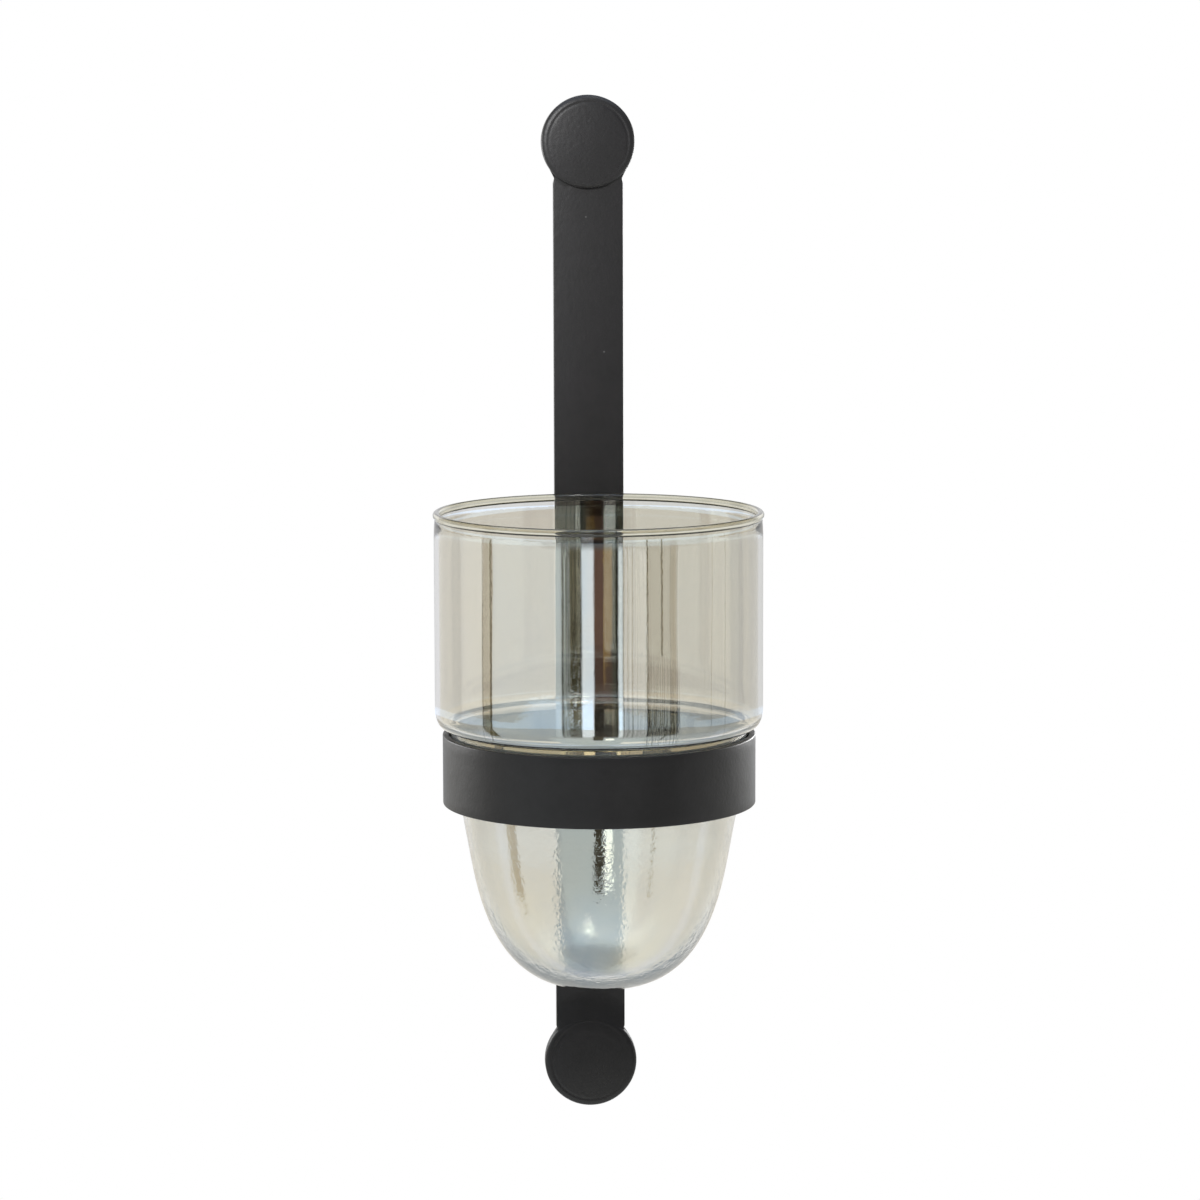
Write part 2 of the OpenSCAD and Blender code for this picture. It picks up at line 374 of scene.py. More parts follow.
# %% Studio: feet of the stripes
foot_edge, foot_soft, foot_share = 0.06, 0.6, 0.8
spot_tone, spotted_from, spotted_to, spots_full, spots_none = (1.00, 1.03, 1.00), -25, -12.6, -9.0, -8.2
sill_tint, sill_low, sill_high, sill_soft = (1.22, 1.36, 1.55), -10.2, -9.03, 0.12
no_sill_from, no_sill_to = -4, 13
teeth_cells, teeth_cut, spot_cells, spot_cut = (1.6, 0.6), (0.45, 0.6), (0.45, 15.0), (0.54, 0.58)

teeth = map_range(
    tree, stretched_noise(tree, compass, height, teeth_cells, 2.0, 0.6), *teeth_cut, 0.0, 1.0)
feet =[(-3.4, 8.8, -8.35, 0.35), (-3.4, 8.8, -9.0, 1.15), (34, 58, -8.3, teeth), (34, 58, -9.05, teeth)]
for start, end, top, depth in feet:
    foot = product(tree, below(tree, height, top, foot_edge),
                   window(tree, stripe_compass, start, end, foot_soft), depth, foot_share)
    dimming = product(tree, dimming, outside_of(tree, foot))
band_colour = blend_colour(tree, 1.0, band_colour, dimming, blend_type="MULTIPLY")
spots = map_range(tree, stretched_noise(tree, compass, height, spot_cells, 2.0, 0.6), *spot_cut, 0.0, 1.0)
spots = product(tree, spots, window(tree, compass, spotted_from, spotted_to, part_soft),
                map_range(tree, height, spots_full, spots_none, 1.0, 0.0))
band_colour = blend_colour(tree, spots, band_colour, of_peak(spot_tone))
sill = product(tree, window(tree, height, sill_low, sill_high, sill_soft),
               outside_of(tree, window(tree, compass, no_sill_from, no_sill_to, part_soft)))
band_colour = blend_colour(tree, sill, band_colour, sill_tint, blend_type="MULTIPLY")
print("feet:", len(feet))

# %% [markdown]
# Above and below eye level.
# Above the stripes hangs a dark ceiling that turns pale further up, and the white backdrop rises behind the
# holder. Below lies a pale sheet that is brightest in front. These broad parts follow the height alone, so a
# second ramp holds them, and the stripes are laid over its middle.

# %% Studio: above and below eye level
sweep = [(-90, (0.98, 1.03, 1.03)), (-55, (1.05, 1.08, 1.05)), (-20, (0.95, 0.95, 0.92)),
         (8, (0.85, 0.84, 0.80)), (22, (0.50, 0.47, 0.36)), (50, (0.42, 0.41, 0.36)),
         (66, (0.95, 1.02, 1.10)), (90, (1.40, 1.50, 1.60))]
stripes_low, stripes_high = (-27.0, -19.0), (12.0, 26.0)

sweep_colour = colour_ramp(tree, map_range(tree, height, -90.0, 90.0, 0.0, 1.0), [
    ((place + 90) / 180, of_peak(colour)) for place, colour in sweep])
level = product(tree, map_range(tree, height, *stripes_low, 0.0, 1.0),
                map_range(tree, height, *stripes_high, 1.0, 0.0))
room = blend_colour(tree, level, sweep_colour, band_colour)
print("tones from the floor to the ceiling:", len(sweep))

# %% [markdown]
# Patches.
# What is left of the room are single things: a stand, the gap at the left, one bright softbox to the front
# and a little to the right, and the places where sheet, ceiling and backdrop change their tone. Each row
# says from where to where it reaches round the compass and in height, how soft its edges are, and its
# colour. Slow noise shifts both measures, so that no edge is ruler-straight.

# %% Studio: patches
torn_by, torn_cells = 0.8, (0.25, 0.9)
patches = [
    ("warm strip", (3.0, 8.8), (-8.35, 2), 0.5, (0.52, 0.31, 0.12)),
    ("short line", (44.6, 45.5), (-8.3, -4), 0.3, (0.15, 0.13, 0.10)),
    ("front sheet", (-36, 36), (-62, -27), 8, (1.29, 1.34, 1.29)),
    ("stand", (-4.6, 2.8), (-34, -18), 1, (0.10, 0.08, 0.05)),
    ("strip by the stand", (4.4, 10.6), (-33.5, -26.8), 1, (3.4, 3.3, 2.9)),
    ("left gap", (-90, -79), (-31, -18), 2, (0.28, 0.23, 0.13)),
    ("left gap edge", (-80.6, -79), (-31, -18), 0.6, (0.15, 0.13, 0.08)),
    ("left patch", (-86, -80), (-35, -33.6), 0.6, (0.40, 0.35, 0.24)),
    ("right line", (47.6, 49.2), (-35.5, -18), 0.6, (0.16, 0.16, 0.13)),
    ("front dark", (-40, 80), (-1, 28), 6, (0.30, 0.31, 0.32)),
    ("low back left", (-181, -95), (-27, -12), 4, (0.86, 0.83, 0.74)),
    ("low back right", (95, 181), (-27, -12), 4, (0.86, 0.83, 0.74)),
    ("backdrop left", (-181, -150), (2, 20), 4, (1.00, 1.00, 1.00)),
    ("backdrop right", (150, 181), (2, 20), 4, (1.00, 1.00, 1.00)),
    ("ceiling in front", (-100, 100), (38, 95), 8, (1.20, 1.33, 1.55)),
    ("ceiling behind left", (-181, -100), (46, 95), 6, (1.20, 1.35, 1.60)),
    ("ceiling behind right", (100, 181), (46, 95), 6, (1.20, 1.35, 1.60)),
    ("dark back left", (-181, -100), (24, 46), 4, (0.03, 0.03, 0.025)),
    ("dark back right", (100, 181), (24, 46), 4, (0.03, 0.03, 0.025)),
    ("sheet under the camera", (-70, 70), (-95, -60), 6, (0.82, 0.85, 0.83)),
    ("softbox", (12, 32), (56, 68), 3, (9.0, 9.0, 8.6))]

torn = wander(tree, stretched_noise(tree, compass, height, torn_cells, 5.0, 0.75), -torn_by, torn_by)
torn_compass, torn_height = total(tree, compass, torn), total(tree, height, torn)
for name, (left, right_end), (low, high), soft, colour in patches:
    mask = product(tree, window(tree, torn_compass, left, right_end, soft),
                   window(tree, torn_height, low, high, soft))
    room = blend_colour(tree, mask, room, of_peak(colour))
print("patches:", len(patches))

# %% [markdown]
# Edge of the sheet.
# Behind the holder the sheet ends in a straight edge, past which it is darker and bluer: the bowl's underside
# mirrors that as a crescent. It could be one more patch, but a straight edge is a curve in compass and
# height. So it is a plane through the holder, and a ray is past it by its way back plus a share of its way
# up. What the camera itself sees behind the holder is plain white, as in the photograph.

# %% Studio: edge of the sheet
edge_tilt, edge_soft, edge_torn = 0.05, 0.03, 0.06
beyond_edge, beyond_rim = (0.90, 0.91, 0.88), (1.02, 1.05, 1.10)
rim_from, rim_to, rim_soft = 0.04, 0.22, 0.08
sheet_full, sheet_none = -24.0, -14.0

past_edge = total(tree, direction[1], product(tree, direction[2], edge_tilt), product(tree, torn, edge_torn))
beyond = blend_colour(tree, window(tree, past_edge, rim_from, rim_to, rim_soft),
                      of_peak(beyond_edge), of_peak(beyond_rim))
beyond_mask = product(tree, above(tree, past_edge, 0.0, edge_soft),
                      map_range(tree, height, sheet_full, sheet_none, 1.0, 0.0))
room = blend_colour(tree, beyond_mask, room, beyond)
for name, colour, strength in (("room", room, room_peak), ("backdrop", (1.0, 1.0, 1.0, 1.0), 1.0)):
    add_node(tree, "ShaderNodeBackground", {"Color": colour, "Strength": strength}, name=name)
seen = add_node(tree, "ShaderNodeMixShader", {
    0: add_node(tree, "ShaderNodeLightPath").outputs["Is Camera Ray"],
    1: tree.nodes["room"].outputs[0], 2: tree.nodes["backdrop"].outputs[0]})
add_node(tree, "ShaderNodeOutputWorld", {"Surface": seen.outputs[0]})
scene = bpy.context.scene
scene.view_settings.view_transform = "Standard"
scene.cycles.max_bounces = 24
scene.cycles.transmission_bounces = 20
scene.cycles.glossy_bounces = 10
print("nodes in the painted room:", len(tree.nodes))

# %% [markdown]
# Surfaces.
# Every piece is a sheet of points worked out on a grid: each row is a closed loop, and neighbouring rows are
# joined by four-sided faces. A turned glass, a bent cap and a strip of steel all fit this, so one function
# puts such a grid into a mesh. It closes both ends with a fan, or joins the last row to the first.

# %% Helpers for outlines


def arc(centre_x, centre_y, half_w, half_h, start, stop, steps):
    """Points on an ellipse: the centre, plus half its width times the cosine and half its height times the
    sine."""
    angle = np.radians(np.linspace(start, stop, steps + 1))
    return np.column_stack([centre_x + half_w * np.cos(angle), centre_y + half_h * np.sin(angle)])


def densify(points, spacing):
    """The same line with more points: its own, and others where the way between two is longer than the
    spacing."""
    way = np.concatenate([[0], np.cumsum(np.hypot(*np.diff(points, axis=0).T))])
    parts = np.maximum(1, np.ceil(np.diff(way) / spacing)).astype(int)
    share = np.concatenate([np.arange(n) / n for n in parts])
    places = np.repeat(way[:-1], parts) + share * np.repeat(np.diff(way), parts)
    places = np.append(places, way[-1])
    return np.column_stack([np.interp(places, way, points[:, 0]), np.interp(places, way, points[:, 1])])


# %% Helpers for surfaces


def signed_volume(points, faces):
    """Sum, over triangles fanned from each face's first corner, of a sixth of the corners' box product."""
    volume = 0.0
    for a, b in zip(range(1, faces.shape[1] - 1), range(2, faces.shape[1])):
        cross = np.cross(points[faces[:, a]], points[faces[:, b]])
        volume += np.einsum("ij,ij->", points[faces[:, 0]], cross) / 6
    return volume


def skin(name, grid, ring=False, sharp=40):
    """A mesh of a grid of rows, columns and 3 coordinates in mm: faces join each point to the next in its row
    and to the row after it. Each end is closed by a fan to the end row's middle, or a ring joins the last row
    to the first. Edges sharper than the angle stay sharp."""
    rows, columns = grid.shape[:2]
    points = grid.reshape(-1, 3) * mm
    here = np.arange(rows * columns).reshape(rows, columns)
    beside = np.roll(here, -1, axis=1)
    if ring:
        lower, upper = here, np.roll(here, -1, axis=0)
        lower_next, upper_next = beside, np.roll(beside, -1, axis=0)
    else:
        lower, upper, lower_next, upper_next = here[:-1], here[1:], beside[:-1], beside[1:]
    quads = np.stack([lower, lower_next, upper_next, upper], axis=-1).reshape(-1, 4)
    fans = np.empty((0, 3), int)
    if not ring:
        first, last = len(points), len(points) + 1
        points = np.vstack([points, points[here[0]].mean(0), points[here[-1]].mean(0)])
        fans = np.vstack([
            np.column_stack([beside[0], here[0], np.full(columns, first)]),
            np.column_stack([here[-1], beside[-1], np.full(columns, last)])])
    volume = signed_volume(points, quads) + (signed_volume(points, fans) if len(fans) else 0.0)
    if volume < 0:
        quads, fans = quads[:, ::-1], fans[:, ::-1]
    mesh = bpy.data.meshes.new(name)
    mesh.from_pydata(points.tolist(), [], quads.tolist() + fans.tolist())
    mesh.shade_smooth()
    mesh.set_sharp_from_angle(angle=math.radians(sharp))
    piece = bpy.data.objects.new(name, mesh)
    bpy.context.scene.collection.objects.link(piece)
    print(f"{name}: {len(quads) * 2 + len(fans)} triangles, {abs(volume) * 1e6:.2f} cm3")
    return piece


def turn(profile, columns, centre):
    """Carry a profile of radius and height round the upright axis: the radius times the cosine and the sine
    of the angle."""
    angle = np.linspace(0, 2 * np.pi, columns, endpoint=False)
    radius, along = profile[:, :1], profile[:, 1:]
    across, aside = radius * np.cos(angle), radius * np.sin(angle)
    return np.stack((across, aside, np.broadcast_to(along, across.shape)), axis=-1) + np.array(centre)


def finish_piece(piece, body, slot, materials, *nodes):
    """Give a piece its materials and its place on a body, and hide the CAD nodes that it stands for."""
    for material in materials:
        piece.data.materials.append(material)
    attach(piece, body)
    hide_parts(*nodes)


# %% [markdown]
# Black powder coat.
# All the steel has one finish: a matt black powder that melts into a slightly bumpy skin, like orange peel.
# It could be one dark colour, but a real coat is a little uneven in tone and gloss, and carries a few pale
# specks of dust. Noise of three sizes gives the tone, the gloss and the skin, and scattered cells the specks.

# %% Black powder coat
coat_tone, coat_roughness, coat_specular, coat_index = (0.0084, 0.0078, 0.0085), 0.41, 0.38, 1.5
slow_scale, peel_scale, grain_scale, speck_scale = 110.0, 900.0, 4000.0, 170.0
tone_swing, gloss_swing, grain_swing = 0.25, 0.03, 0.04
speck_tone, speck_share, speck_rare, speck_core, speck_rim = (0.16, 0.16, 0.16), 0.6, 0.82, 0.03, 0.075
slow_height, peel_height, grain_height, bump_share, bump_depth = 1.6, 0.35, 0.1, 0.6, 0.15 * mm


def dust_specks(tree, place):
    """One near the middles of a few scattered cells, and zero elsewhere: a cell counts when its own random
    number is above the rare share."""
    cells = add_node(tree, "ShaderNodeTexVoronoi", {"Vector": place, "Scale": speck_scale, "Randomness": 1.0})
    own = add_node(tree, "ShaderNodeSeparateColor", {0: cells.outputs["Color"]}).outputs[0]
    near = map_range(tree, cells.outputs["Distance"], speck_core, speck_rim, 1.0, 0.0)
    return product(tree, math_node(tree, "GREATER_THAN", own, speck_rare), near)


def powder_coat(name, tone, roughness):
    """Dark colour with slow patches, pale specks, a gloss that follows the patches and the grain, and bumps
    of three sizes added up."""
    material, tree, shader = new_material(name)
    place = add_node(tree, "ShaderNodeTexCoord").outputs["Object"]
    slow = noise(tree, place, slow_scale, 5.0, 0.62)
    peel = noise(tree, place, peel_scale, 2.0)
    grain = noise(tree, place, grain_scale, 1.0)
    darker, lighter = (tuple(c * (1 + way * tone_swing) for c in tone) for way in (-1, 1))
    shade = blend_colour(tree, wander(tree, slow, 0.0, 1.0), darker, lighter)
    shade = blend_colour(tree, product(tree, dust_specks(tree, place), speck_share), shade, speck_tone)
    gloss = total(tree, wander(tree, slow, roughness + gloss_swing, roughness - gloss_swing),
                  wander(tree, grain, -grain_swing, grain_swing))
    skin_height = total(tree, product(tree, peel, peel_height), product(tree, grain, grain_height),
                        product(tree, slow, slow_height))
    bump = add_node(tree, "ShaderNodeBump", {
        "Height": skin_height, "Strength": bump_share, "Distance": bump_depth})
    tree.links.new(shade, shader.inputs["Base Color"])
    tree.links.new(gloss, shader.inputs["Roughness"])
    tree.links.new(bump.outputs["Normal"], shader.inputs["Normal"])
    shader.inputs["IOR"].default_value = coat_index
    shader.inputs["Specular IOR Level"].default_value = coat_specular
    return material


black_coat = powder_coat("black_powder_coat", coat_tone, coat_roughness)
print("coat:", coat_tone, "roughness", coat_roughness)

# %% [markdown]
# Blown wall.
# The glass itself is clear with a faint warm tint. Along the rim the edge was melted to a bead, which bends
# the light so much that it shows a dark line under itself and another along its crest. These lines could
# come from the shape alone, but only at one exact roundness, so they are tinted in by height. The bowl was
# blown freely and ripples, while the mould left the cylinder nearly smooth: its mirrored stripes stay sharp.

# %% Blown wall
glass_index, wall_tint, clear_tint = 1.5, (0.70, 0.66, 0.55), (0.93, 0.93, 0.91)
film_top_z, film_edge, film_ragged, ragged_scale = -116.7, 0.15, 0.2, 500.0
bead_low_z, bead_edge, bead_tint = -114.6, 0.1, (0.70, 0.68, 0.58)
# The crest's dark colour is painted shade: the dark lines that the bead gives by bending the light.
crest_low_z, crest_edge, painted_rim_shade = -112.97, 0.06, (0.06, 0.055, 0.04)
line_low_z, line_high_z = bead_low_z - 0.45, bead_low_z - 0.1
free_z, moulded_z, free_wall, smooth_wall = -215.0, -190.0, 2.7, 0.07
ripple_scale, fine_scale, ripple_height, fine_height = 240.0, 900.0, 0.6, 0.45
wall_bump, wall_bump_depth = 0.35, 0.1 * mm


def film_mask(tree, place, up):
    """One below the film's upper edge and zero above it. Noise moves the edge up and down by a share of a
    millimetre."""
    ragged = wander(tree, noise(tree, place, ragged_scale, 3.0), -film_ragged, film_ragged)
    return below(tree, total(tree, up, ragged), film_top_z, film_edge)


def rim_tint(tree, up):
    """Colour above the film by height: clear, a line of painted shade, the bead and painted shade on the
    crest.
    """
    colour = blend_colour(tree, above(tree, up, bead_low_z, bead_edge), clear_tint, bead_tint)
    colour = blend_colour(tree, window(tree, up, line_low_z, line_high_z, bead_edge), colour, painted_rim_shade)
    return blend_colour(tree, above(tree, up, crest_low_z, crest_edge), colour, painted_rim_shade)


def blown_glass(name, tint):
    """See-through shader of constant index, tinted under the film's edge and clear above it, with bumps of
    two sizes: a slow ripple and a fine grain, both faint above the ring."""
    material, tree, shader = new_material(name)
    place = add_node(tree, "ShaderNodeTexCoord").outputs["Object"]
    up = product(tree, split_vector(tree, place)[2], 1 / mm)
    mask = film_mask(tree, place, up)
    tree.links.new(blend_colour(tree, mask, rim_tint(tree, up), tint), shader.inputs["Base Color"])
    ripple, fine = noise(tree, place, ripple_scale, 1.0), noise(tree, place, fine_scale, 2.0)
    height = total(tree, product(tree, ripple, ripple_height), product(tree, fine, fine_height))
    height = product(tree, height, map_range(tree, up, free_z, moulded_z, free_wall, smooth_wall))
    bump = add_node(tree, "ShaderNodeBump", {
        "Height": height, "Strength": wall_bump, "Distance": wall_bump_depth})
    tree.links.new(bump.outputs["Normal"], shader.inputs["Normal"])
    shader.inputs["Transmission Weight"].default_value = 1.0
    shader.inputs["IOR"].default_value = glass_index
    shader.inputs["Roughness"].default_value = 0.0
    return material, tree, shader, place, up, mask


plain_glass = blown_glass("plain_glass", wall_tint)[0]
print("wall: index", glass_index, "bumps", free_wall, "in the bowl and", smooth_wall, "above the ring")

# %% [markdown]
# Dark lines on the glass.
# A few hair-thin upright lines are blended into the colour of the cylinder, and a comb of short dark teeth
# near its shoulder. They could be painted on the room like the stripes, but then they would slide over the
# glass as it lifts. So they belong to the glass: their places are angles round its axis, counted from the
# viewer's side, and heights.

# %% Dark lines on the glass
upright_glass_lines = [
    (-43.6, 0.25, -179, -117, (0.45, 0.40, 0.30)), (-39.8, 0.45, -179, -117, (0.16, 0.13, 0.08)),
    (16.5, 0.28, -179, -116, (0.22, 0.19, 0.11)), (21.7, 0.32, -151.5, -116, (0.16, 0.13, 0.07)),
    (48.6, 0.20, -179, -116, (0.50, 0.46, 0.36))]
mark_scale, mark_torn, mark_side, mark_end = 700.0, 0.2, 0.2, 0.5
comb_from, comb_to, comb_side, comb_cells, comb_cut = 15.6, 28.5, 0.5, (1.7, 0.015), (0.49, 0.56)
comb_low_z, comb_high_z, comb_end, comb_tint = -179.0, -167.5, 1.0, (0.03, 0.03, 0.025)


def marked_colour(tree, colour, place, up):
    """The colour with each mark blended in where its angle and its height are both inside their ranges. The
    comb's teeth are noise stretched upwards, cut off sharply."""
    across, depth, _ = split_vector(tree, place)
    front = math_node(tree, "SUBTRACT", ring_centre[1] * mm, depth)
    angle = math_node(tree, "DEGREES", math_node(tree, "ARCTAN2", across, front))
    angle = math_node(tree, "SUBTRACT", angle, view_azimuth)
    torn = total(tree, angle, wander(tree, noise(tree, place, mark_scale, 3.0), -mark_torn, mark_torn))
    for middle, half_width, low, high, tint in upright_glass_lines:
        mark = product(tree, window(tree, torn, middle - half_width, middle + half_width, mark_side),
                       window(tree, up, low, high, mark_end))
        colour = blend_colour(tree, mark, colour, tint)
    teeth = map_range(tree, stretched_noise(tree, angle, up, comb_cells, 3.0, 0.7), *comb_cut, 0.0, 1.0)
    comb = product(tree, window(tree, angle, comb_from, comb_to, comb_side),
                   window(tree, up, comb_low_z, comb_high_z, comb_end), teeth)
    return blend_colour(tree, comb, colour, comb_tint)


print("marks:", len(upright_glass_lines), "and a comb", comb_to - comb_from, "degrees wide")

# %% [markdown]
# Lustre film.
# The outside of the glass carries a metal-oxide film a few dozen nanometres thick that mirrors about a
# quarter of the light. A half-clear metal could be mixed in, but the shader's own thin film does what the
# real one does: it reflects a little more blue than red, and what passes through turns yellow. The film
# stops a few millimetres under the rim in a slightly ragged edge, so both shaders fade to clear glass there,
# and it is thicker in the groove under the shoulder, where it turns golden. Inside the ring it is hazed, and
# the haze's pale bluish colour is partly a painted reflection of the room on the neck.

# %% Lustre film
film_thickness, film_index, film_tint = 55.0, 2.25, (0.97, 0.97, 0.96)
throat_z, throat_core, throat_reach, throat_extra = -181.9, 1.0, 2.2, 26.0
drift_low_z, drift_high_z, bowl_drift, wall_drift = -250.0, -225.0, 18.0, 3.0
# The haze's bluish tint is partly painted reflection: it stands in for the room mirrored on the neck.
cloud_scale, haze_share, haze_and_reflection_tint = 60.0, 0.3, (0.82, 0.88, 0.93)


def film_depth(tree, place, up):
    """Thickness in nanometres: slow clouds, which are stronger low in the bowl, plus the film's own thickness
    and the throat's extra, which fades with the distance in height from the throat."""
    cloud = wander(tree, noise(tree, place, cloud_scale, 3.0), -1.0, 1.0)
    drift = map_range(tree, up, drift_low_z, drift_high_z, bowl_drift, wall_drift)
    from_throat = math_node(tree, "ABSOLUTE", math_node(tree, "SUBTRACT", up, throat_z))
    thickness = map_range(
        tree, from_throat, throat_core, throat_reach, film_thickness + throat_extra, film_thickness)
    return total(tree, product(tree, cloud, drift), thickness)


def lustre_glass(name, tint):
    """Blown glass with the marks and the film, whose thickness falls to nothing above its edge."""
    material, tree, shader, place, up, mask = blown_glass(name, tint)
    unmarked = shader.inputs["Base Color"].links[0].from_socket
    tree.links.new(marked_colour(tree, unmarked, place, up), shader.inputs["Base Color"])
    depth = product(tree, film_depth(tree, place, up), mask)
    tree.links.new(depth, shader.inputs["Thin Film Thickness"])
    shader.inputs["Thin Film IOR"].default_value = film_index
    return material, shader


lustre, _ = lustre_glass("lustre_glass", film_tint)
haze, shader = lustre_glass("hazed_lustre_glass", haze_and_reflection_tint)
shader.inputs["Transmission Weight"].default_value = 1.0 - haze_share
print("film:", film_thickness, "nm, index", film_index)

# %% [markdown]
# Glass.
# It is blown into a turned mould, so its wall is one profile carried round the upright axis: bowl, cone,
# straight neck, a hollow curve that hangs on the ring, a rounded corner, the wide cylinder and a bead along
# the rim where the edge was melted round. It could be a cylinder joined to a dome, but then the shoulder
# would crease.

# %% Glass: sizes
wall, base_t, shoulder_h, neck_gap, lean = 1.5, 3.2, 83.0, 2.5, math.tan(math.radians(10.3))
rim_r, neck_t, neck_fade, bead_fillet, rim_reach, rim_pull, pull_fade = 1.15, 1.2, 2.6, 0.3, 10.0, 0.1, 5.0
corner_w, corner_h, fillet, neck_h, bowl_h, bowl_power = 2.9, 5.6, 0.9, 8.4, 45.0, 2.98
inner_turn_w, inner_turn_h, throat_h, spacing = 2.2, 3.2, 3.5, 2.4
body_r = (glass_high[0] - glass_low[0]) / 2
rim_z, base_z, shoulder_z = glass_high[2], glass_low[2], glass_low[2] + shoulder_h
neck_r = ring_r - neck_gap
bowl_r = neck_r - (shoulder_h - neck_h - bowl_h) * lean
fillet_r, inner_r, inner_floor_z = neck_r + fillet, body_r - wall, shoulder_z + wall
inner_turn_r = inner_r - inner_turn_w
print("glass radius", round(body_r, 2), "neck", round(neck_r, 2), "bowl", round(bowl_r, 2))

# %% Glass: profile


def bowl(top_r, bottom_z, h, steps):
    """A superellipse from the lowest point up: the drop is h times a power of the cosine, and the radius is
    the top one, less the lean over that drop, times the same power of the sine."""
    angle = np.radians(np.linspace(0, 90, steps + 1))
    drop = h * np.cos(angle) ** (2 / bowl_power)
    return np.column_stack([(top_r - drop * lean) * np.sin(angle) ** (2 / bowl_power), bottom_z + h - drop])


def rim_side(side):
    """One side of the wall under the rim, from the bead's middle down: the bead's circle, a small hollow
    curve that touches both, and then half the wall, thinned by a bell curve near the rim. Side is 1 outside
    and -1 inside."""
    reach, hollow_x = rim_r + bead_fillet, neck_t / 2 + bead_fillet
    turn_point = math.degrees(math.acos(hollow_x / reach))
    hollow_z = math.sqrt(reach**2 - hollow_x**2)
    bead = arc(0, 0, rim_r, rim_r, 0, -turn_point, 10)
    hollow = arc(hollow_x, -hollow_z, bead_fillet, bead_fillet, 180 - turn_point, 180, 5)[1:]
    under = np.linspace(hollow_z, rim_reach - rim_r, 20)[1:]
    half = wall / 2 - (wall - neck_t) / 2 * np.exp(-((under - hollow_z) / neck_fade) ** 2)
    line = np.vstack([bead, hollow, np.column_stack([half, -under])])
    middle = body_r - wall / 2 - rim_pull * np.exp(-(line[:, 1] / pull_fade) ** 2)
    return np.column_stack([middle + side * line[:, 0], rim_z - rim_r + line[:, 1]])


outer_side, inner_side = rim_side(1), rim_side(-1)
rim_middle = (outer_side[0, 0] + inner_side[0, 0]) / 2
outside = np.vstack([
    bowl(bowl_r, base_z, bowl_h, 60)[1:], [[neck_r, shoulder_z - neck_h]],
    arc(fillet_r, shoulder_z - fillet, fillet, fillet, 180, 90, 8),
    arc(body_r - corner_w, shoulder_z + corner_h, corner_w, corner_h, 270, 360, 14),
    outer_side[::-1], arc(rim_middle, rim_z - rim_r, rim_r, rim_r, 0, 180, 18)[1:]])
inside = np.vstack([
    inner_side[1:],
    arc(inner_turn_r, inner_floor_z + inner_turn_h, inner_r - inner_turn_r, inner_turn_h, 360, 270, 14),
    arc(inner_turn_r, inner_floor_z - throat_h, inner_turn_r - neck_r + wall, throat_h, 90, 180, 16)[1:],
    bowl(bowl_r - wall, base_z + base_t, bowl_h - base_t, 60)[:0:-1]])
outside, inside = densify(outside, spacing), densify(inside, spacing)
print("profile points:", len(outside), "outside,", len(inside), "inside")

# %% [markdown]
# Unevenness of the glass.
# A hand-blown wall is never quite even. Small dents could be pressed in by noise, but blowing and turning
# leave slow waves, a few hundredths of a millimetre deep, that run round the glass and lean as they rise. So
# a few such waves are added to the radius. Each face then gets the plain wall inside, the film outside, or
# the hazed film where the neck stands in the ring.

# %% Glass: skin
glass_columns = 256
waves = [(3, 0.030, 0.020, 0.4), (5, 0.020, 0.045, 2.1), (9, 0.010, 0.080, 4.0), (14, 0.005, 0.110, 1.2)]
bowl_more, bowl_more_z, bowl_more_h = 1.4, -205.0, 12.0
haze_top_z, haze_low_z = -181.4, -204.0


def blown_wave(angle, height):
    """Sum of waves: each is its depth times the cosine of its lobes round the axis plus a lean with height.
    The bowl, which was blown without a mould, waves more."""
    more = 1 + bowl_more * np.clip((bowl_more_z - height) / bowl_more_h, 0, 1)
    return more * sum(
        depth * np.cos(lobes * angle + rise * height + start) for lobes, depth, rise, start in waves)


profile = np.vstack([outside, inside])
grid = turn(profile, glass_columns, (0, 0, 0))
spread = np.hypot(grid[..., 0], grid[..., 1])
wave = blown_wave(np.arctan2(grid[..., 1], grid[..., 0]), grid[..., 2]) * np.clip(spread / body_r, 0, 1)
grid[..., :2] *= (1 + wave / np.maximum(spread, 1.0))[..., None]
glass = skin("lustre_glass_cup", grid + ring_centre, sharp=70)
finish_piece(glass, "glass", "lustre_glass", [plain_glass, lustre, haze], "glass")

# %% Glass: which face has the film
faces = glass.data.polygons
quads = (len(profile) - 1) * glass_columns
row = np.concatenate([
    np.arange(quads) // glass_columns, np.zeros(glass_columns, int), np.full(glass_columns, len(profile))])
filmed = (row < len(outside) - 1).astype(np.int32)
heights = np.empty(len(faces) * 3)
faces.foreach_get("center", heights)
heights = heights.reshape(-1, 3)[:, 2] / mm
filmed += ((filmed == 1) & (heights < haze_top_z) & (heights > haze_low_z)).astype(np.int32)
faces.foreach_set("material_index", filmed)
print("faces inside, filmed and hazed:", np.bincount(filmed))

# %% [markdown]
# Ring.
# The ring is flat strip, rolled into a hoop and welded shut. It could be a plain tube, but its edges are
# rounded by rolling and by the coat, and that thin rounding catches the light. So the strip's own section,
# a rectangle with soft corners, is carried round.

# %% Ring
soft_edge, ring_t, ring_spacing, ring_columns = 0.4, 2.0, 3.0, 256


def soft_rectangle(x0, y0, x1, y1, r, steps=5):
    """Outline of a rectangle between two corners, with round corners of radius r."""
    return np.vstack([
        arc(x0 + r, y0 + r, r, r, 180, 270, steps), arc(x1 - r, y0 + r, r, r, 270, 360, steps),
        arc(x1 - r, y1 - r, r, r, 0, 90, steps), arc(x0 + r, y1 - r, r, r, 90, 180, steps)])


